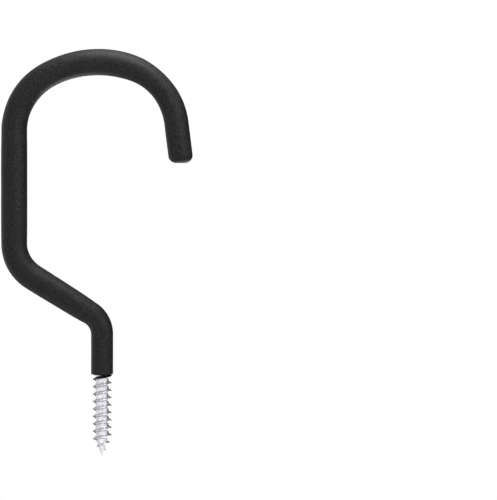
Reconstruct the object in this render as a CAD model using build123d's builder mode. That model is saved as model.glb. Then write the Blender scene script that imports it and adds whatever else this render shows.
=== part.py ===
from build123d import *
import os
from math import ceil, cos, radians, sin, tan

os.makedirs("parts", exist_ok=True)

# Ceiling hook that a bicycle hangs from by one wheel. A steel rod is bent to the hook, its
# upper end is a lag screw, and all of it below the screw is dipped in soft vinyl.
# Millimetres, +Z up. The origin is where the screw leaves the vinyl, in the ceiling's plane.
# The screw stands along +Z, and the hook hangs below it in the XZ plane.

# Steel rod
rod_diameter = 7.5

# Centreline: a straight neck, an offset of two bends, a shank, and a crook of three arcs
neck_depth = 20.8  # ceiling to the corner of the first bend
offset = 34.0  # screw axis to shank axis
offset_turn = 58.0  # degrees that each offset bend turns by
first_bend_radius = 9.8
second_bend_radius = 15.5
shank_run = 43.2
near_arc_radius = 24.8
near_arc_turn = 60.4  # degrees
middle_arc_radius = 40.3
middle_arc_turn = 47.3  # degrees
far_arc_radius = 26.2
far_arc_turn = 65.2  # degrees
tip_run = 15.5

# Lag screw
screw_length = 31.8  # ceiling to the tip of the point
point_length = 6.9
point_flat = 0.24  # diameter of the very tip
thread_pitch = 2.87
thread_depth = 1.21
thread_relief = 0.04  # crests below the rod's surface
crest_width = 0.1
flank_angle = 30.0  # degrees between a flank and the plane across the screw
thread_foot = 0.25  # depth to which the ridge's foot is rooted in the core
runout_depth = 1.9  # full rod up to here, inside the vinyl
runout_length = 1.25
fade_turns = 2.0  # turns of thread on the point
fade_steps_per_turn = 12
faded_depth = 0.12

# Vinyl coat, by its thickness over the rod
vinyl_at_mouth = 0.43
vinyl_on_slope = 0.9
vinyl_full = 1.25
vinyl_at_tip = 0.9
vinyl_beyond_rod = 2.0
tip_trim = 1.0  # length drawn past the tip and then trimmed off level
tip_rounding = 2.5
mouth_rounding = 0.1
collar_height = 0.4  # vinyl that climbs the screw's core at the mouth
collar_clearance = 0.07
film = 0.07  # vinyl left on the first turn of the thread

# Worked-out sizes of the screw
rod_radius = rod_diameter / 2
crest_radius = rod_radius - thread_relief
root_radius = crest_radius - thread_depth
shoulder = screw_length - point_length
point_slope = (root_radius - point_flat / 2) / point_length
half_foot = crest_width / 2 + (thread_depth + thread_foot) * tan(radians(flank_angle))
buried_depth = runout_depth + half_foot
thread_turns = ceil((shoulder + buried_depth) / thread_pitch)
thread_start = shoulder - thread_turns * thread_pitch


def hook_centreline(start_depth, end_cut):
    """Draw the centreline from a depth below the ceiling to a cut short of the tip."""
    half_turn = tan(radians(offset_turn / 2))
    neck_run = neck_depth - first_bend_radius * half_turn
    slope_run = offset / sin(radians(offset_turn))
    slope_run -= (first_bend_radius + second_bend_radius) * half_turn
    with BuildLine(Plane.XZ) as line:
        neck = Line((0, -start_depth), (0, -neck_run))
        out = JernArc(neck @ 1, neck % 1, first_bend_radius, offset_turn)
        slope = Line(out @ 1, out @ 1 + (out % 1) * slope_run)
        back = JernArc(slope @ 1, slope % 1, second_bend_radius, -offset_turn)
        shank = Line(back @ 1, back @ 1 + (back % 1) * shank_run)
        near = JernArc(shank @ 1, shank % 1, near_arc_radius, -near_arc_turn)
        middle = JernArc(near @ 1, near % 1, middle_arc_radius, -middle_arc_turn)
        far = JernArc(middle @ 1, middle % 1, far_arc_radius, -far_arc_turn)
        Line(far @ 1, far @ 1 + (far % 1) * (tip_run - end_cut))
    return line.edges().sort_by(line.wire())


def across(point, direction):
    """Give the plane across the centreline at one of its points."""
    return Plane(origin=point, x_dir=(0, 1, 0), z_dir=direction)


def thread_section(angle, height, core, depth, cover=0.0):
    """Draw the thread's section at an angle round the screw, a cover of vinyl larger."""
    x_dir = (cos(radians(angle)), sin(radians(angle)), 0)
    z_dir = (sin(radians(angle)), -cos(radians(angle)), 0)
    half_crest = crest_width / 2 + cover
    half_base = half_crest + (depth + cover + thread_foot) * tan(radians(flank_angle))
    with BuildSketch(Plane(origin=(0, 0, height), x_dir=x_dir, z_dir=z_dir)) as section:
        with BuildLine():
            Polyline(
                (core - thread_foot, -half_base),
                (core + depth + cover, -half_crest),
                (core + depth + cover, half_crest),
                (core - thread_foot, half_base),
                close=True,
            )
        make_face()
    return section.sketch


# Steel hook: rod, run-out and core of the screw, then the thread round the core
with BuildPart() as steel_hook:
    steel_line = hook_centreline(runout_depth, vinyl_beyond_rod)
    with BuildSketch(across(steel_line[0] @ 0, steel_line[0] % 0)):
        Circle(rod_radius)
    sweep(path=Wire(steel_line))
    with BuildSketch(Plane.XZ):
        with BuildLine():
            Polyline(
                (0, -runout_depth),
                (rod_radius, -runout_depth),
                (root_radius, -runout_depth + runout_length),
                (root_radius, shoulder),
                (point_flat / 2, screw_length),
                (0, screw_length),
                close=True,
            )
        make_face()
    revolve(axis=Axis.Z)

    with BuildLine() as thread_line:
        Helix(thread_pitch, shoulder - thread_start, root_radius, center=(0, 0, thread_start))
    ridge = thread_section(0, thread_start, root_radius, thread_depth)
    sweep(ridge, path=thread_line.line, is_frenet=True)

    # On the point the thread sinks into the cone, through one section for each step
    fade_steps = round(fade_turns * fade_steps_per_turn)
    fading_ridge = []
    for step in range(fade_steps + 1):
        climbed = step / fade_steps_per_turn * thread_pitch
        core = root_radius - climbed * point_slope
        depth = thread_depth + (faded_depth - thread_depth) * step / fade_steps
        angle = 360 * step / fade_steps_per_turn
        fading_ridge.append(thread_section(angle, shoulder + climbed, core, depth))
    loft(fading_ridge)

# Vinyl coat: a sleeve of changing thickness, closed and rounded at the hook's tip
with BuildPart() as vinyl_coat:
    coat_line = hook_centreline(0, -tip_trim)
    thickness_at_joins = [
        vinyl_at_mouth,
        vinyl_at_mouth,
        vinyl_on_slope,
        vinyl_full,
        vinyl_full,
        vinyl_full,
        vinyl_full,
        vinyl_full,
        vinyl_at_tip,
        vinyl_at_tip,
    ]
    for stretch, start, end in zip(coat_line, thickness_at_joins, thickness_at_joins[1:]):
        with BuildSketch(across(stretch @ 0, stretch % 0)):
            Circle(rod_radius + start)
        if start != end:
            with BuildSketch(across(stretch @ 1, stretch % 1)):
                Circle(rod_radius + end)
        sweep(path=stretch, multisection=start != end)
    neck, tip = coat_line[0], coat_line[-1]

    # The tip ends level, in a plane like the ceiling's, with a rounded edge
    tip_end = tip @ 1 - (tip % 1) * tip_trim
    above_the_tip = (Align.CENTER, Align.CENTER, Align.MIN)
    with Locations(tip_end):
        Box(2 * rod_diameter, 2 * rod_diameter, rod_diameter, align=above_the_tip, mode=Mode.SUBTRACT)
    rims = vinyl_coat.edges().filter_by(lambda edge: edge.is_closed)
    fillet(rims.sort_by_distance(tip_end)[0], tip_rounding)
    rims = vinyl_coat.edges().filter_by(lambda edge: edge.is_closed)
    fillet(rims.sort_by_distance(neck @ 0)[0], mouth_rounding)

    # Collar round the core at the mouth, inside the flat ring that meets the ceiling
    collar_radius = crest_radius + film + collar_clearance
    with BuildSketch(Plane.XZ):
        with BuildLine():
            Polyline(
                (0, -runout_depth),
                (collar_radius, -runout_depth),
                (collar_radius, 0),
                (root_radius, collar_height),
                (0, collar_height),
                close=True,
            )
        make_face()
    revolve(axis=Axis.Z)

    # Film on the first turn, from inside the mouth round to bare steel
    turns_below_mouth = ceil(-thread_start / thread_pitch) - 1
    film_start = thread_start + turns_below_mouth * thread_pitch
    with BuildLine() as film_line:
        Helix(thread_pitch, thread_pitch, root_radius, center=(0, 0, film_start))
    filmed_ridge = thread_section(0, film_start, root_radius, thread_depth, film)
    sweep(filmed_ridge, path=film_line.line, is_frenet=True)
    add(steel_hook.part, mode=Mode.SUBTRACT)

steel_hook.part.label = "steel_hook"
export_step(steel_hook.part, "parts/steel_hook.step")

vinyl_coat.part.label = "vinyl_coat"
export_step(vinyl_coat.part, "parts/vinyl_coat.step")
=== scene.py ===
"""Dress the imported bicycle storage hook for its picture.

The hook is one steel rod with a lag screw on its upper end, dipped in matt vinyl below the
screw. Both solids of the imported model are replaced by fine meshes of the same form, with the
slight unevenness of a dipped coat and the rolled shape of a real thread.

Lengths are metres. The turns of bends and arcs and the thread's flank angle are degrees.
The origin is where the screw leaves the vinyl, +Z runs up the screw, and the hook hangs below
in the XZ plane. The photograph shows it the other way up, so the main camera is rolled by
half a turn.
"""

import logging
from dataclasses import dataclass
from enum import Enum
from functools import cached_property
from math import atan, ceil, cos, pi, radians, sin, tan

import bmesh
import bpy
import numpy as np
from mathutils import Matrix, Vector, noise


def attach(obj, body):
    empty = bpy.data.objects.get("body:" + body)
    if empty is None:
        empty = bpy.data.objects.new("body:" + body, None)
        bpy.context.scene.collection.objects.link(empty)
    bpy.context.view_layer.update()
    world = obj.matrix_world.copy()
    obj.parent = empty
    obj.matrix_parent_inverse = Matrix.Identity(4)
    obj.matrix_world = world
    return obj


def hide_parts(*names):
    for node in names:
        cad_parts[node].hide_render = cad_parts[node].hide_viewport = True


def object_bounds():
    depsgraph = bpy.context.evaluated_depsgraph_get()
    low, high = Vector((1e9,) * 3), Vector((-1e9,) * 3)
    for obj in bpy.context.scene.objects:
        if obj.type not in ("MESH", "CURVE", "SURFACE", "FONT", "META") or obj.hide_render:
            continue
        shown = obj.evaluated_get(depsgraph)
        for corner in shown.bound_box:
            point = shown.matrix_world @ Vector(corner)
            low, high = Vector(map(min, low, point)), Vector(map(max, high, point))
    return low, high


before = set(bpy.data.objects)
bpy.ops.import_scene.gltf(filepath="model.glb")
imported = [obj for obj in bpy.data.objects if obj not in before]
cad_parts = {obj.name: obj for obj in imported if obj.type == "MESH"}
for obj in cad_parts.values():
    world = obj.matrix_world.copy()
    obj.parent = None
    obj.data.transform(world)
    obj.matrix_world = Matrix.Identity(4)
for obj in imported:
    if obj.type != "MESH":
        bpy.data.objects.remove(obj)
cad_low, cad_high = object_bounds()

log = logging.getLogger("hook")

Pair = tuple[float, float]
Triple = tuple[float, float, float]
Faces = list[tuple[int, ...]]
Surface = tuple[list[Vector], Faces]
Output = bpy.types.NodeSocket

MM = 0.001
ROOT_BODY = "root"
WHITE = (1.0, 1.0, 1.0, 1.0)


# Shared measures of the hook


@dataclass(frozen=True)
class HookLine:
    """Centreline of the rod: a neck, an offset of two bends, a shank and a crook of three arcs.

    A place on it is given by its distance below the ceiling along the line. Distances above
    the ceiling are negative and run straight up the screw.
    """

    neck_depth: float = 20.8 * MM
    offset: float = 34.0 * MM
    offset_turn: float = 58.0
    first_bend_radius: float = 9.8 * MM
    second_bend_radius: float = 15.5 * MM
    shank_run: float = 43.2 * MM
    near_arc_radius: float = 24.8 * MM
    near_arc_turn: float = 60.4
    middle_arc_radius: float = 40.3 * MM
    middle_arc_turn: float = 47.3
    far_arc_radius: float = 26.2 * MM
    far_arc_turn: float = 65.2
    tip_run: float = 15.5 * MM

    def stretches(self) -> list[Pair]:
        """List the runs and arcs from the ceiling to the tip.

        Returns:
            The length and the turn in radians of each, left turns positive.
        """
        half_turn = tan(radians(self.offset_turn / 2))
        bends = (self.first_bend_radius + self.second_bend_radius) * half_turn
        arcs = [
            (self.first_bend_radius, self.offset_turn),
            (self.second_bend_radius, -self.offset_turn),
            (self.near_arc_radius, -self.near_arc_turn),
            (self.middle_arc_radius, -self.middle_arc_turn),
            (self.far_arc_radius, -self.far_arc_turn),
        ]
        first, second, near, middle, far = (
            (radius * radians(abs(turn)), radians(turn)) for radius, turn in arcs
        )
        neck = (self.neck_depth - self.first_bend_radius * half_turn, 0.0)
        slope = (self.offset / sin(radians(self.offset_turn)) - bends, 0.0)
        shank = (self.shank_run, 0.0)
        tip = (self.tip_run, 0.0)
        return [neck, first, slope, second, shank, near, middle, far, tip]

    def length(self) -> float:
        """Give the length of the line from the ceiling to the tip."""
        return sum(length for length, _ in self.stretches())

    def at(self, distance: float) -> tuple[Vector, Vector, Vector]:
        """Find a place on the line.

        Args:
            distance: Distance below the ceiling along the line.

        Returns:
            The point, the direction across the line in the hook's plane, and the direction
            along the line towards the tip.
        """
        x, z, heading = 0.0, 0.0, -pi / 2
        left = distance
        stretches = self.stretches()
        for index, (length, turn) in enumerate(stretches):
            last = index == len(stretches) - 1
            step = left if last else min(left, length)
            if turn:
                bend = turn / length
                after = heading + bend * step
                x += (sin(after) - sin(heading)) / bend
                z += (cos(heading) - cos(after)) / bend
                heading = after
            else:
                x += cos(heading) * step
                z += sin(heading) * step
            left -= step
            if left <= 0:
                break
        across = Vector((-sin(heading), 0.0, cos(heading)))
        along = Vector((cos(heading), 0.0, sin(heading)))
        return Vector((x, 0.0, z)), across, along

    def spokes(self, distance: float, count: int) -> list[Vector]:
        """List the directions that lead straight away from the line.

        Args:
            distance: Distance below the ceiling along the line.
            count: How many directions, evenly round the line.

        Returns:
            Their unit vectors, the first one +X at the neck.
        """
        _, across, _ = self.at(distance)
        angles = [2 * pi * index / count for index in range(count)]
        return [cos(angle) * across + sin(angle) * Vector((0, 1, 0)) for angle in angles]

    def ring(self, distance: float, radius: float, count: int) -> list[Vector]:
        """Make a ring of points across the line.

        Args:
            distance: Distance below the ceiling along the line.
            radius: Radius of the ring.
            count: Points in the ring.

        Returns:
            The points.
        """
        centre, _, _ = self.at(distance)
        return [centre + radius * spoke for spoke in self.spokes(distance, count)]


@dataclass(frozen=True)
class RodSize:
    """Sizes of the steel rod and of the screw that is rolled on its end."""

    rod_radius: float = 3.75 * MM
    screw_length: float = 31.8 * MM
    point_length: float = 6.9 * MM
    point_flat: float = 0.24 * MM
    nose: float = 0.35 * MM
    pitch: float = 2.87 * MM
    thread_depth: float = 1.21 * MM
    thread_relief: float = 0.04 * MM
    crest_width: float = 0.1 * MM
    crest_rounding: float = 0.06 * MM
    flank_angle: float = 30.0
    root_fillet: float = 0.1 * MM
    thread_foot: float = 0.25 * MM
    runout_depth: float = 1.9 * MM
    runout_length: float = 1.25 * MM
    fade_turns: float = 2.0

    @property
    def root_radius(self) -> float:
        """Radius of the screw's core between the threads."""
        return self.rod_radius - self.thread_relief - self.thread_depth

    @property
    def shoulder(self) -> float:
        """Height at which the point starts."""
        return self.screw_length - self.point_length

    @property
    def runout_top(self) -> float:
        """Height at which the run-out has narrowed to the core."""
        return self.runout_length - self.runout_depth

    @property
    def half_foot(self) -> float:
        """Half the width of the thread's foot, rooted in the core."""
        depth = self.thread_depth + self.thread_foot
        return self.crest_width / 2 + depth * tan(radians(self.flank_angle))

    @property
    def thread_start(self) -> float:
        """Height of the thread's lower end, buried in the full rod."""
        turns = ceil((self.shoulder + self.runout_depth + self.half_foot) / self.pitch)
        return self.shoulder - turns * self.pitch

    def core(self, height: float) -> float:
        """Give the radius of run-out, core and point.

        Args:
            height: Height over the ceiling, below the tip of the point.

        Returns:
            The radius, which runs out round at the very tip.
        """
        heights = (-self.runout_depth, self.runout_top, self.shoulder, self.screw_length)
        radii = (self.rod_radius, self.root_radius, self.root_radius, self.point_flat / 2)
        rounded = min((self.screw_length - height) / self.nose, 1.0) ** 0.5
        return float(np.interp(height, heights, radii)) * rounded

    def ridge(self, off_crest: float, depth: float) -> float:
        """Give the height of the thread over the core.

        Args:
            off_crest: Distance along the screw from the middle of the crest.
            depth: Height of the crest itself.

        Returns:
            The height, with a hollow fillet where the flank meets the core.
        """
        away = (off_crest**2 + self.crest_rounding**2) ** 0.5 - self.crest_rounding
        flank = depth - away / tan(radians(self.flank_angle))
        hollow = self.root_fillet**2
        return (flank + (flank**2 + hollow) ** 0.5) / 2 - hollow / (4 * self.thread_depth)


@dataclass(frozen=True)
class CoatSize:
    """Thickness of the vinyl over the rod, and the form of its two ends.

    The dip left it thin at the screw, full on the shank and the crook, a little thinner round
    each bend and thin again near the tip. The stations are pairs in millimetres: the distance
    below the ceiling along the line, and the thickness there.
    """

    stations: tuple[Pair, ...] = (
        (0.0, 0.50), (14.0, 0.51), (22.0, 0.64), (25.0, 0.75), (29.0, 0.98), (33.0, 1.10),
        (41.0, 1.23), (50.0, 1.33), (59.0, 1.34), (64.5, 1.22), (68.0, 1.22), (73.0, 1.32),
        (103.0, 1.32), (109.0, 1.22), (118.0, 1.18), (123.0, 1.26), (128.0, 1.29),
        (140.0, 1.22), (150.0, 1.31), (155.0, 1.37), (168.0, 1.34), (172.0, 1.18),
        (176.5, 0.98), (181.0, 0.86), (187.0, 0.86), (191.0, 0.94), (199.0, 0.98),
        (206.0, 0.96),
    )
    blend: float = 2.0 * MM
    beyond_rod: float = 2.0 * MM
    tip_rounding: float = 3.0 * MM
    levelling: float = 5.0 * MM
    rim_rounding: float = 0.24 * MM
    collar_height: float = 0.4 * MM
    collar_hollow: float = 1.5

    def thickness(self, distance: float) -> float:
        """Give the coat's thickness, smoothed so that its outline has no corners.

        Args:
            distance: Distance below the ceiling along the line.

        Returns:
            The mean thickness of the places round it.
        """
        places, thicknesses = zip(*self.stations)
        taps = [(distance + self.blend * share) / MM for share in (-1, -0.5, 0, 0.5, 1)]
        return float(np.mean(np.interp(taps, places, thicknesses))) * MM


# Meshes


class MeshBuilder:
    """Makes Blender objects from points, and the faces that join rings of points."""

    @staticmethod
    def plain(name: str, points: list[Vector] | list[Triple], faces: Faces) -> bpy.types.Object:
        """Make an object of points and faces as they are.

        Args:
            name: Name of the object and its mesh.
            points: Its points.
            faces: Its faces, as indices of points.

        Returns:
            The object, linked to the scene.
        """
        mesh = bpy.data.meshes.new(name)
        mesh.from_pydata(points, [], faces)
        made = bpy.data.objects.new(name, mesh)
        bpy.context.scene.collection.objects.link(made)
        return made

    @staticmethod
    def piece(name: str, points: list[Vector], faces: Faces) -> bpy.types.Object:
        """Make a closed object whose faces turn outward and are shaded smooth.

        Args:
            name: Name of the piece.
            points: Its points. Those that coincide are merged.
            faces: Its faces, as indices of points.

        Returns:
            The object, linked to the scene.
        """
        made = MeshBuilder.plain(name, points, faces)
        welded = 0.0002 * MM
        work = bmesh.new()
        work.from_mesh(made.data)
        bmesh.ops.remove_doubles(work, verts=work.verts, dist=welded)
        bmesh.ops.dissolve_degenerate(work, edges=work.edges, dist=welded)
        bmesh.ops.recalc_face_normals(work, faces=work.faces)
        work.to_mesh(made.data)
        work.free()
        made.data.shade_smooth()
        return made

    @staticmethod
    def rectangle(name: str, width: float, height: float) -> bpy.types.Object:
        """Make a flat rectangle round its origin, in its own XY plane.

        Args:
            name: Name of the object and its mesh.
            width: Its size along X.
            height: Its size along Y.

        Returns:
            The object, linked to the scene.
        """
        signs = [(-1, -1), (1, -1), (1, 1), (-1, 1)]
        corners = [(x * width / 2, y * height / 2, 0.0) for x, y in signs]
        return MeshBuilder.plain(name, corners, [(0, 1, 2, 3)])

    @staticmethod
    def ring_faces(first: int, second: int, count: int) -> Faces:
        """Join two rings of points by faces.

        Args:
            first: Index of the first ring's first point.
            second: Index of the second ring's first point.
            count: Points in each ring.

        Returns:
            One face for each point of a ring.
        """
        faces = []
        for here in range(count):
            after = (here + 1) % count
            faces.append((first + here, first + after, second + after, second + here))
        return faces

    @staticmethod
    def fan_faces(first: int, middle: int, count: int) -> Faces:
        """Close a ring of points by faces that meet in its middle.

        Args:
            first: Index of the ring's first point.
            middle: Index of the point in its middle.
            count: Points in the ring.

        Returns:
            One face for each point of the ring.
        """
        return [(first + here, first + (here + 1) % count, middle) for here in range(count)]


# Finishes


class Socket(Enum):
    """Inputs of the surface shader that the finishes set or drive."""

    COLOUR = "Base Color"
    METAL = "Metallic"
    ROUGHNESS = "Roughness"
    REFLECTION = "Specular IOR Level"
    BUMP = "Normal"


@dataclass(frozen=True)
class Grain:
    """An even mottling: the size of its blotches, its finer layers and what they weigh.

    One that is also a relief has a height, and a strength, the share of it that shows.
    """

    size: float
    layers: float = 2.0
    fine_weight: float = 0.5
    height: float = 0.0
    strength: float = 0.0


class NodeSheet:
    """A material's node tree with short calls for the nodes that the finishes use."""

    mottling_range: Pair = (0.25, 0.75)

    def __init__(self, name: str) -> None:
        """Start a material that has one surface shader.

        Args:
            name: Name of the material.
        """
        self.material = bpy.data.materials.new(name)
        self.material.use_nodes = True
        self.nodes = self.material.node_tree.nodes
        self.links = self.material.node_tree.links
        self.shader = self.nodes["Principled BSDF"]

    def set(self, socket: Socket, value: float | tuple[float, ...]) -> None:
        """Give an input of the shader a value that is the same all over."""
        self.shader.inputs[socket.value].default_value = value

    def drive(self, socket: Socket, source: Output) -> None:
        """Let a node's output drive an input of the shader."""
        self.links.new(source, self.shader.inputs[socket.value])

    @cached_property
    def place(self) -> Output:
        """Place on the object itself, which the mottlings and the floor's fade follow."""
        return self.nodes.new("ShaderNodeTexCoord").outputs["Object"]

    def mottling(self, grain: Grain) -> Output:
        """Add a mottling.

        Args:
            grain: Its size and layers.

        Returns:
            The mottling's value, about 0.5 on average.
        """
        made = self.nodes.new("ShaderNodeTexNoise")
        made.inputs["Scale"].default_value = 1 / grain.size
        made.inputs["Detail"].default_value = grain.layers
        made.inputs["Roughness"].default_value = grain.fine_weight
        self.links.new(self.place, made.inputs["Vector"])
        return made.outputs["Fac"]

    def spread(self, source: Output, ends: Pair) -> Output:
        """Map a mottling to a range of values.

        Args:
            source: The mottling, which seldom leaves its mottling_range.
            ends: Values at its dark and at its light places.

        Returns:
            The mapped value.
        """
        made = self.nodes.new("ShaderNodeMapRange")
        made.inputs["From Min"].default_value = self.mottling_range[0]
        made.inputs["From Max"].default_value = self.mottling_range[1]
        made.inputs["To Min"].default_value = ends[0]
        made.inputs["To Max"].default_value = ends[1]
        self.links.new(source, made.inputs["Value"])
        return made.outputs["Result"]

    def tint(self, source: Output, dark: Triple, light: Triple, blend: Pair) -> Output:
        """Mix two colours by a mottling.

        Args:
            source: The mottling.
            dark: Colour at its dark places.
            light: Colour at its light places.
            blend: Values of the mottling from which and up to which the colours mix.

        Returns:
            The mixed colour.
        """
        ramp = self.nodes.new("ShaderNodeValToRGB")
        ramp.color_ramp.elements[0].position = blend[0]
        ramp.color_ramp.elements[0].color = (*dark, 1.0)
        ramp.color_ramp.elements[1].position = blend[1]
        ramp.color_ramp.elements[1].color = (*light, 1.0)
        self.links.new(source, ramp.inputs["Fac"])
        return ramp.outputs["Color"]

    def relief(self, source: Output, grain: Grain, under: Output | None = None) -> Output:
        """Turn a mottling into fine relief.

        Args:
            source: The mottling.
            grain: Its height and strength.
            under: A coarser relief that this one lies on.

        Returns:
            The normal for the shader.
        """
        made = self.nodes.new("ShaderNodeBump")
        made.inputs["Strength"].default_value = grain.strength
        made.inputs["Distance"].default_value = grain.height
        self.links.new(source, made.inputs["Height"])
        if under is not None:
            self.links.new(under, made.inputs["Normal"])
        return made.outputs["Normal"]


@dataclass(frozen=True)
class DippedVinyl:
    """Matt black vinyl with the fine pebbled skin of a dipped coat.

    Its colour follows the pebbles' noise. It is partly the vinyl's random tone and partly
    painted shade that darkens the pebbles' hollows.
    """

    slot: str = "black_vinyl"
    dark: Triple = (0.0002, 0.0002, 0.0002)
    light: Triple = (0.0165, 0.0165, 0.0165)
    blend: Pair = (0.43, 0.59)
    roughness: Pair = (0.456, 0.536)
    reflection: float = 0.206
    pebbles_and_hollow_shade: Grain = Grain(0.62 * MM, 4.0, 0.7, height=0.12 * MM, strength=0.8)
    skin: Grain = Grain(0.17 * MM, height=0.012 * MM, strength=0.5)
    clouds: Grain = Grain(5.0 * MM)

    def material(self) -> bpy.types.Material:
        """Make the material.

        Returns:
            The material.
        """
        sheet = NodeSheet("matt_dipped_vinyl")
        pebbles_and_hollow_shade = sheet.mottling(self.pebbles_and_hollow_shade)
        skin = sheet.mottling(self.skin)
        clouds = sheet.mottling(self.clouds)
        # Painted shade: the colour is darkest where the pebbles are lowest, in their hollows,
        # on top of the vinyl's random tone.
        sheet.drive(Socket.COLOUR, sheet.tint(pebbles_and_hollow_shade, self.dark, self.light, self.blend))
        sheet.drive(Socket.ROUGHNESS, sheet.spread(clouds, self.roughness))
        sheet.set(Socket.REFLECTION, self.reflection)
        coarse = sheet.relief(pebbles_and_hollow_shade, self.pebbles_and_hollow_shade)
        sheet.drive(Socket.BUMP, sheet.relief(skin, self.skin, under=coarse))
        return sheet.material


@dataclass(frozen=True)
class ZincPlate:
    """Bright zinc on rolled steel, a little uneven and slightly blue."""

    slot: str = "zinc_steel"
    dark: Triple = (0.55, 0.55, 0.58)
    light: Triple = (0.85, 0.85, 0.88)
    blend: Pair = (0.3, 0.7)
    roughness: Pair = (0.42, 0.24)
    blotches: Grain = Grain(1.3 * MM, 3.0)
    crystals: Grain = Grain(0.12 * MM, height=0.006 * MM, strength=0.4)

    def material(self) -> bpy.types.Material:
        """Make the material.

        Returns:
            The material.
        """
        sheet = NodeSheet("bright_zinc")
        blotches = sheet.mottling(self.blotches)
        crystals = sheet.mottling(self.crystals)
        sheet.drive(Socket.COLOUR, sheet.tint(blotches, self.dark, self.light, self.blend))
        sheet.drive(Socket.ROUGHNESS, sheet.spread(blotches, self.roughness))
        sheet.set(Socket.METAL, 1.0)
        sheet.drive(Socket.BUMP, sheet.relief(crystals, self.crystals))
        return sheet.material


# Pieces


@dataclass
class SteelHook:
    """The steel rod with its lag screw, one mesh from the point to the end in the tip.

    The thread's rows are distances from its crest in millimetres, closer together where the
    crest and the root are rounded. The rolled crest loses a wandering share of its depth.
    """

    line: HookLine
    size: RodSize
    finish: ZincPlate
    beyond_rod: float
    columns: int = 96
    rod_step: float = 2.0 * MM
    rows: tuple[float, ...] = (
        0.0, 0.03, 0.07, 0.12, 0.2, 0.32, 0.46, 0.58, 0.66, 0.73, 0.8, 0.92, 1.15,
    )
    crest_loss: float = 0.03
    wander_rate: float = 1.3

    def thread_points(self) -> Surface:
        """Make the screw as one band that winds up round its axis.

        Its rows follow the thread, so that crests and roots are clean lines. Rows that lie
        below the run-out or above the point collapse onto the rod's ring and the tip.

        Returns:
            Points and faces.
        """
        size = self.size
        below = [-off * MM for off in self.rows[:0:-1]]
        above = [off * MM for off in self.rows]
        offsets = [-size.pitch / 2, *below, *above]
        turns = ceil((size.screw_length - size.thread_start) / size.pitch) + 1
        points = []
        for turn in range(-1, turns + 1):
            for off in offsets:
                for column in range(self.columns):
                    points.append(self.screw_point(turn + column / self.columns, off))
        faces = []
        for row in range(len(points) // self.columns - 1):
            for column in range(self.columns):
                start = row * self.columns + column
                if column < self.columns - 1:
                    beside = start + 1
                else:
                    beside = (row + len(offsets)) * self.columns
                if beside + self.columns < len(points):
                    faces.append((start, beside, beside + self.columns, start + self.columns))
        return points, faces

    def screw_point(self, wound: float, off: float) -> Vector:
        """Find a point of the screw.

        Args:
            wound: Turns of the thread's crest from its lower end.
            off: Distance along the screw from that crest.

        Returns:
            The point.
        """
        size = self.size
        crest_height = size.thread_start + wound * size.pitch
        height = crest_height + off
        angle = 2 * pi * wound
        if height <= -size.runout_depth:
            height, radius = -size.runout_depth, size.rod_radius
        elif height >= size.screw_length:
            height, radius = size.screw_length, 0.0
        else:
            radius = self.screw_radius(crest_height, off, angle)
        return Vector((radius * cos(angle), radius * sin(angle), height))

    def screw_radius(self, crest_height: float, off: float, angle: float) -> float:
        """Give the screw's radius, with the slight unevenness of a rolled thread.

        Args:
            crest_height: Height of the thread's crest at this angle.
            off: Distance along the screw from that crest.
            angle: Angle round the screw in radians.

        Returns:
            The radius. In the run-out it is that of the cone or the thread, up to the rod's.
        """
        size = self.size
        height = crest_height + off
        climbed = (crest_height - size.shoulder) / (size.fade_turns * size.pitch)
        depth = size.thread_depth * (1 - min(max(climbed, 0.0), 1.0))
        place = Vector((cos(angle), sin(angle), height / size.pitch))
        wander = noise.noise(place * self.wander_rate)
        depth *= 1 - self.crest_loss * (0.5 + 0.5 * wander)
        core, ridge = size.core(height), size.ridge(off, depth)
        if height < size.runout_top:
            return min(max(core, size.root_radius + ridge), size.rod_radius)
        return core + ridge

    def rod_points(self, start: int) -> Surface:
        """Make the rod from the run-out to its end inside the tip of the coat.

        Args:
            start: Index that the first of its points will have.

        Returns:
            Points and faces.
        """
        size = self.size
        end = self.line.length() - self.beyond_rod
        run = end - size.runout_depth
        count = ceil(run / self.rod_step)
        points, faces = [], []
        for step in range(count + 1):
            distance = size.runout_depth + run * step / count
            points += self.line.ring(distance, size.rod_radius, self.columns)
        for ring in range(count):
            first = start + ring * self.columns
            faces += MeshBuilder.ring_faces(first, first + self.columns, self.columns)
        centre, _, _ = self.line.at(end)
        last = start + count * self.columns
        faces += MeshBuilder.fan_faces(last, start + len(points), self.columns)
        return [*points, centre], faces

    def build(self) -> bpy.types.Object:
        """Make and dress the piece, in the place of its solid.

        Returns:
            The piece.
        """
        points, faces = self.thread_points()
        rod_points, rod_faces = self.rod_points(len(points))
        made = MeshBuilder.piece("steel_rod_and_screw", points + rod_points, faces + rod_faces)
        made.data.materials.append(self.finish.material())
        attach(made, ROOT_BODY)
        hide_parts("steel_hook")
        return made


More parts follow.
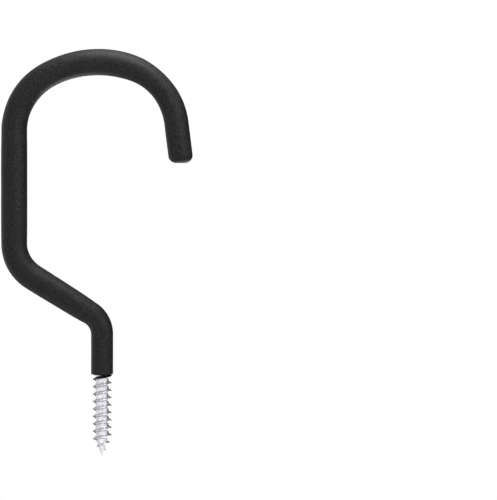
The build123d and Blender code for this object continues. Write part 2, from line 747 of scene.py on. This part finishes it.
@dataclass(frozen=True)
class ThreadFilm:
    """The film that the dip left on the thread's first turn, full at first and then fading.

    It is thickest on the crest and thins towards its edges by edge_power. Its edges lie a
    little below the steel's surface, its inside lies deeper, and its width wanders.
    """

    rod: RodSize
    half_width: float = 0.56 * MM
    half_width_at_end: float = 0.10 * MM
    half_width_wander: float = 0.05 * MM
    wander_rate: float = 9.0
    wander_place: Pair = (0.3, 0.7)
    cover: float = 0.11 * MM
    cover_at_end: float = 0.02 * MM
    edge_power: int = 3
    edge_sunk: float = 0.01 * MM
    inside_sunk: float = 0.06 * MM
    fading_share: float = 0.5
    steps: int = 90
    half_points: int = 10

    def strip(self, start: int) -> Surface:
        """Make the film as a closed strip round the screw.

        Args:
            start: Index that the first of its points will have.

        Returns:
            Points and faces.
        """
        points, faces = [], []
        for step in range(self.steps + 1):
            points += self.section(step / self.steps)
        size = len(points) // (self.steps + 1)
        for step in range(self.steps):
            first = start + step * size
            faces += MeshBuilder.ring_faces(first, first + size, size)
        for end in (start, start + self.steps * size):
            faces.append(tuple(range(end, end + size)))
        return points, faces

    def section(self, share: float) -> list[Vector]:
        """Make the closed outline of the film across the thread.

        Args:
            share: How far along the film this is, from 0 to 1.

        Returns:
            Outer points from one foot to the other, then inner points back.
        """
        rod = self.rod
        wound = ceil(-rod.thread_start / rod.pitch) - 1 + share
        angle = 2 * pi * wound
        crest_height = rod.thread_start + wound * rod.pitch
        wander = noise.noise(Vector((wound * self.wander_rate, *self.wander_place)))
        full = min(1.0, (1 - share) / self.fading_share)
        half_width = self.half_width_at_end + self.half_width_wander * wander
        half_width += (self.half_width - self.half_width_at_end) * full
        cover = self.cover_at_end + (self.cover - self.cover_at_end) * full
        outer, inner = [], []
        for index in range(-self.half_points, self.half_points + 1):
            out = index / self.half_points
            off = half_width * out
            steel = rod.root_radius + rod.ridge(off, rod.thread_depth)
            lift = cover * (1 - abs(out) ** self.edge_power) - self.edge_sunk
            for found, radius in ((outer, steel + lift), (inner, steel - self.inside_sunk)):
                place = (radius * cos(angle), radius * sin(angle), crest_height + off)
                found.append(Vector(place))
        return outer + inner[::-1]


@dataclass
class VinylCoat:
    """The dipped coat: a hollow sleeve with a closed tip and a film on the first thread.

    Its outside is as uneven as vinyl that sets while it drips: long waves, and a share of
    ripples that are shorter.
    """

    line: HookLine
    rod: RodSize
    size: CoatSize
    film: ThreadFilm
    finish: DippedVinyl
    columns: int = 96
    collar_rings: int = 9
    rim_rings: int = 6
    outer_step: float = 0.42 * MM
    inner_step: float = 2.4 * MM
    tip_rings: int = 16
    end_rings: tuple[float, ...] = (0.75, 0.5, 0.25)
    unevenness: float = 0.05 * MM
    wave_length: float = 7.0 * MM
    ripple_length: float = 2.1 * MM
    ripple_share: float = 0.3

    def outer_stations(self) -> list[Pair]:
        """Lay out the outside's rings from the collar to where the tip's rounding starts.

        Returns:
            The distance along the line and the radius of each.
        """
        size, rod = self.size, self.rod
        stations = []
        flat = rod.rod_radius + size.thickness(0.0) - size.rim_rounding
        for ring in range(self.collar_rings):
            share = ring / self.collar_rings
            height = size.collar_height * (1 - share**size.collar_hollow)
            stations.append((-height, rod.root_radius + (flat - rod.root_radius) * share))
        for ring in range(self.rim_rings):
            angle = pi / 2 * ring / self.rim_rings
            over = size.rim_rounding * (1 - cos(angle))
            stations.append((over, flat + size.rim_rounding * sin(angle)))
        run = self.line.length() - size.tip_rounding - size.rim_rounding
        count = ceil(run / self.outer_step)
        for ring in range(count + 1):
            distance = size.rim_rounding + run * ring / count
            stations.append((distance, rod.rod_radius + size.thickness(distance)))
        return stations

    def inner_stations(self) -> list[Pair]:
        """Lay out the bore's rings from the rod's end to the collar.

        Returns:
            The distance along the line and the radius of each.
        """
        rod = self.rod
        end = self.line.length() - self.size.beyond_rod
        count = ceil((end - rod.runout_depth) / self.inner_step)
        distances = [end + (rod.runout_depth - end) * ring / count for ring in range(count + 1)]
        stations = [(distance, rod.rod_radius) for distance in distances]
        return [*stations, (-rod.runout_top, rod.root_radius)]

    def sleeve(self) -> Surface:
        """Make the sleeve as one closed surface, from the bore's end round to the tip.

        Returns:
            Points and faces.
        """
        inner = self.inner_stations()
        points, faces = [], []
        for distance, radius in inner:
            points += self.line.ring(distance, radius, self.columns)
        for distance, radius in self.outer_stations():
            points += self.uneven_ring(distance, radius)
        points += self.tip_points()
        rings = len(points) // self.columns
        for ring in range(rings - 1):
            first = ring * self.columns
            faces += MeshBuilder.ring_faces(first, first + self.columns, self.columns)
        ends = [(0, inner[0][0]), (rings - 1, self.line.length())]
        for ring, distance in ends:
            faces += MeshBuilder.fan_faces(ring * self.columns, len(points), self.columns)
            points.append(self.line.at(distance)[0])
        return points, faces

    def uneven_ring(self, distance: float, radius: float) -> list[Vector]:
        """Make a ring of the outside, slid towards the tip's level end where that is near.

        Args:
            distance: Where on the line the ring lies.
            radius: Its even radius.

        Returns:
            The points.
        """
        size = self.size
        start = self.line.length() - size.tip_rounding - size.levelling
        share = min(max((distance - start) / size.levelling, 0.0), 1.0)
        share *= share * (3 - 2 * share)
        centre, _, along = self.line.at(distance)
        ring = []
        for spoke in self.line.spokes(distance, self.columns):
            slope = -spoke.z / along.z
            slide = slope * (radius - size.tip_rounding)
            slide -= size.tip_rounding * ((1 + slope**2) ** 0.5 - 1)
            even = centre + radius * spoke
            ring.append(even + self.drip(even, radius) * spoke + share * slide * along)
        return ring

    def tip_points(self) -> list[Vector]:
        """Make the tip's rounded edge and its level end.

        On each side the edge is an arc between the side of the coat and the level plane,
        which meet at an angle that changes round the tip.

        Returns:
            The points of all rings, from the side of the tip to near the end's middle.
        """
        length = self.line.length()
        rounding = self.size.tip_rounding
        side = self.rod.rod_radius + self.size.thickness(length - rounding)
        rings = [((ring + 1) / self.tip_rings, 1.0) for ring in range(self.tip_rings)]
        rings += [(1.0, inward) for inward in self.end_rings]
        end, _, along = self.line.at(length)
        points = []
        for share, inward in rings:
            for spoke in self.line.spokes(length, self.columns):
                slope = -spoke.z / along.z
                angle = share * (pi / 2 + atan(slope))
                radius = (side - rounding * (1 - cos(angle))) * inward
                past = slope * (side - rounding)
                past -= rounding * ((1 + slope**2) ** 0.5 - sin(angle))
                even = end + radius * spoke + past * inward * along
                points.append(even + self.drip(even, radius) * spoke)
        return points

    def drip(self, point: Vector, radius: float) -> float:
        """Give the unevenness of the outside.

        Args:
            point: A point of the even coat.
            radius: Its distance from the centreline.

        Returns:
            How far the uneven coat lies outside it, less near the middle of the tip's end.
        """
        wave = noise.noise(point / self.wave_length)
        ripple = noise.noise(point / self.ripple_length)
        mixed = (1 - self.ripple_share) * wave + self.ripple_share * ripple
        return self.unevenness * min(1.0, radius / self.rod.rod_radius) * mixed

    def build(self) -> bpy.types.Object:
        """Make and dress the piece, in the place of its solid.

        Returns:
            The piece.
        """
        points, faces = self.sleeve()
        film_points, film_faces = self.film.strip(len(points))
        made = MeshBuilder.piece("dipped_vinyl_coat", points + film_points, faces + film_faces)
        made.data.materials.append(self.finish.material())
        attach(made, ROOT_BODY)
        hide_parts("vinyl_coat")
        return made


# Studio


@dataclass(frozen=True)
class SoftBox:
    """A soft lamp that faces the hook and doesn't show itself to the camera."""

    name: str
    towards: Triple
    level: float
    distance: float = 0.6
    width: float = 0.5
    height: float = 0.5

    def build(self, centre: Vector) -> bpy.types.Object:
        """Hang the lamp.

        Args:
            centre: Middle of the hook.

        Returns:
            The lamp. At its level of 1 a white card that faces it renders white.
        """
        data = bpy.data.lights.new(self.name, "AREA")
        data.shape = "RECTANGLE"
        data.size = self.width
        data.size_y = self.height
        data.energy = pi**2 * self.level * self.distance**2
        lamp = bpy.data.objects.new(self.name, data)
        direction = Vector(self.towards).normalized()
        lamp.location = centre + direction * self.distance
        lamp.rotation_mode = "QUATERNION"
        lamp.rotation_quaternion = direction.to_track_quat("Z", "Y")
        lamp.visible_camera = False
        bpy.context.scene.collection.objects.link(lamp)
        return lamp


@dataclass(frozen=True)
class Card:
    """A flat matt card near the hook that its edges and its screw reflect as something dark."""

    name: str
    middle: Triple
    faces: Triple
    width: float
    height: float
    shade: float
    roughness: float = 0.9

    def build(self) -> bpy.types.Object:
        """Stand the card up. The camera doesn't see it, only gloss and soft light do.

        Returns:
            The card.
        """
        sheet = NodeSheet(self.name)
        sheet.set(Socket.COLOUR, (self.shade, self.shade, self.shade, 1.0))
        sheet.set(Socket.ROUGHNESS, self.roughness)
        card = MeshBuilder.rectangle(self.name, self.width, self.height)
        card.data.materials.append(sheet.material)
        card.location = self.middle
        card.rotation_mode = "QUATERNION"
        card.rotation_quaternion = Vector(self.faces).to_track_quat("Z", "Y")
        card.visible_camera = False
        return card


@dataclass
class Studio:
    """Pale floor, white surroundings, soft lamps, and cards behind and beside the hook.

    To the camera and to gloss the floor shows some of its own white, the glow, and more of
    it the further it is from the hook, until it is white. All other light meets plain paint.
    """

    centre: Vector
    daylight: float = 0.5
    floor_height: float = -0.42
    floor_width: float = 6.0
    floor_colour: tuple[float, float, float, float] = (0.86, 0.86, 0.86, 1.0)
    floor_roughness: float = 0.9
    floor_glow: float = 0.55
    floor_fade: float = 0.7
    lamps: tuple[SoftBox, ...] = (
        SoftBox("low_box", (-0.17, -0.20, -0.95), 1.12, distance=0.24, width=0.14, height=0.20),
        SoftBox("front_right_box", (-0.62, -0.74, -0.26), 0.19, width=0.20, height=0.20),
        SoftBox("front_left_box", (0.45, -0.85, 0.10), 0.06),
        SoftBox("upper_front_box", (0.0, -0.70, 0.70), 0.085),
        SoftBox("back_box", (-0.28, 0.75, 0.62), 0.55, distance=0.36, width=0.25, height=0.25),
    )
    cards: tuple[Card, ...] = (
        Card("right_card", (-0.26, 0.25, -0.05), (1, 0, 0), 0.4, 0.5, shade=0.1),
        Card("upper_card", (-0.03, 0.40, 0.235), (0, -1, -0.4), 0.6, 0.44, shade=0.02),
        Card("lower_card", (-0.03, 0.40, -0.165), (0, -1, 0.4), 0.6, 0.34, shade=0.2),
    )

    @staticmethod
    def seen_rays(nodes: bpy.types.Nodes, links: bpy.types.NodeLinks) -> Output:
        """Tell the rays that see the white background.

        Args:
            nodes: Nodes of a material or of the world.
            links: Their links.

        Returns:
            1 for rays from the camera, from gloss and through glass, and 0 for others.
        """
        path = nodes.new("ShaderNodeLightPath")
        total = path.outputs["Is Camera Ray"]
        for name in ("Is Glossy Ray", "Is Transmission Ray"):
            either = nodes.new("ShaderNodeMath")
            either.operation = "MAXIMUM"
            links.new(total, either.inputs[0])
            links.new(path.outputs[name], either.inputs[1])
            total = either.outputs[0]
        return total

    def make_world(self) -> None:
        """Make the surroundings, white to the camera and softer as a light."""
        world = bpy.data.worlds.new("studio_white")
        bpy.context.scene.world = world
        world.use_nodes = True
        nodes, links = world.node_tree.nodes, world.node_tree.links
        background = nodes["Background"]
        background.inputs["Color"].default_value = WHITE
        level = nodes.new("ShaderNodeMapRange")
        level.inputs["To Min"].default_value = self.daylight
        level.inputs["To Max"].default_value = 1.0
        links.new(self.seen_rays(nodes, links), level.inputs["Value"])
        links.new(level.outputs["Result"], background.inputs["Strength"])

    def floor_paint(self) -> bpy.types.Material:
        """Make the floor's paint, with its share of glow.

        Returns:
            The material.
        """
        sheet = NodeSheet("pale_floor")
        nodes, links = sheet.nodes, sheet.links
        sheet.set(Socket.COLOUR, self.floor_colour)
        sheet.set(Socket.ROUGHNESS, self.floor_roughness)
        glow = nodes.new("ShaderNodeEmission")
        glow.inputs["Color"].default_value = WHITE
        away = nodes.new("ShaderNodeVectorMath")
        away.operation = "LENGTH"
        links.new(sheet.place, away.inputs[0])
        fade = nodes.new("ShaderNodeMapRange")
        fade.interpolation_type = "SMOOTHSTEP"
        fade.inputs["From Max"].default_value = self.floor_fade
        fade.inputs["To Min"].default_value = self.floor_glow
        fade.inputs["To Max"].default_value = 1.0
        links.new(away.outputs["Value"], fade.inputs["Value"])
        share = nodes.new("ShaderNodeMath")
        share.operation = "MULTIPLY"
        links.new(fade.outputs["Result"], share.inputs[0])
        links.new(self.seen_rays(nodes, links), share.inputs[1])
        mixed = nodes.new("ShaderNodeMixShader")
        links.new(share.outputs[0], mixed.inputs["Fac"])
        links.new(sheet.shader.outputs["BSDF"], mixed.inputs[1])
        links.new(glow.outputs["Emission"], mixed.inputs[2])
        links.new(mixed.outputs["Shader"], nodes["Material Output"].inputs["Surface"])
        return sheet.material

    def make_floor(self) -> bpy.types.Object:
        """Make the floor, which keeps a shadow and runs out to white away from the hook.

        Returns:
            The floor.
        """
        floor = MeshBuilder.rectangle("studio_floor", self.floor_width, self.floor_width)
        floor.location.z = self.floor_height
        floor.data.materials.append(self.floor_paint())
        return floor

    def build(self) -> None:
        """Make the surroundings, the floor, the lamps and the cards."""
        self.make_world()
        self.make_floor()
        for lamp in self.lamps:
            lamp.build(self.centre)
        for card in self.cards:
            card.build()
        bpy.context.scene.view_settings.view_transform = "Standard"


@dataclass
class PhotoCamera:
    """The photograph's view: straight at the hook's plane, from the front, upside down.

    The screw's axis stands on a column of the photograph, and the ceiling lies on a row.
    """

    frame_width: int = 497
    frame_height: int = 500
    pixel: float = 0.3866 * MM
    axis_column: float = 102.12
    ceiling_row: float = 374.2
    lens: float = 200.0
    sensor: float = 36.0
    nearest: float = 0.05
    furthest: float = 20.0

    def build(self) -> bpy.types.Object:
        """Make the camera, so that the screw's axis and the ceiling fall where they do.

        Returns:
            The camera.
        """
        x = (self.axis_column - self.frame_width / 2) * self.pixel
        z = (self.frame_height / 2 - self.ceiling_row) * self.pixel
        long_side = max(self.frame_width, self.frame_height) * self.pixel
        distance = self.lens / self.sensor * long_side
        data = bpy.data.cameras.new("photo_camera")
        data.lens = self.lens
        data.sensor_width = self.sensor
        data.clip_start = self.nearest
        data.clip_end = self.furthest
        camera = bpy.data.objects.new("photo_camera", data)
        right, up, back = Vector((-1, 0, 0)), Vector((0, 0, -1)), Vector((0, -1, 0))
        turned = Matrix((right, up, back)).transposed().to_4x4()
        camera.matrix_world = Matrix.Translation((x, -distance, z)) @ turned
        bpy.context.scene.collection.objects.link(camera)
        bpy.context.scene.camera = camera
        return camera


def main() -> None:
    """Build the two pieces, the studio and the camera."""
    logging.basicConfig(level=logging.INFO, format="%(name)s: %(message)s")
    line, rod, coat = HookLine(), RodSize(), CoatSize()
    pieces = (
        SteelHook(line, rod, ZincPlate(), coat.beyond_rod),
        VinylCoat(line, rod, coat, ThreadFilm(rod), DippedVinyl()),
    )
    for piece in pieces:
        made = piece.build()
        log.info("%s has %d faces", made.name, len(made.data.polygons))
    studio = Studio((cad_low + cad_high) / 2)
    studio.build()
    log.info("studio has %d lamps and %d cards", len(studio.lamps), len(studio.cards))
    camera = PhotoCamera().build()
    log.info("%s looks at the hook", camera.name)


if __name__ == "__main__":
    main()
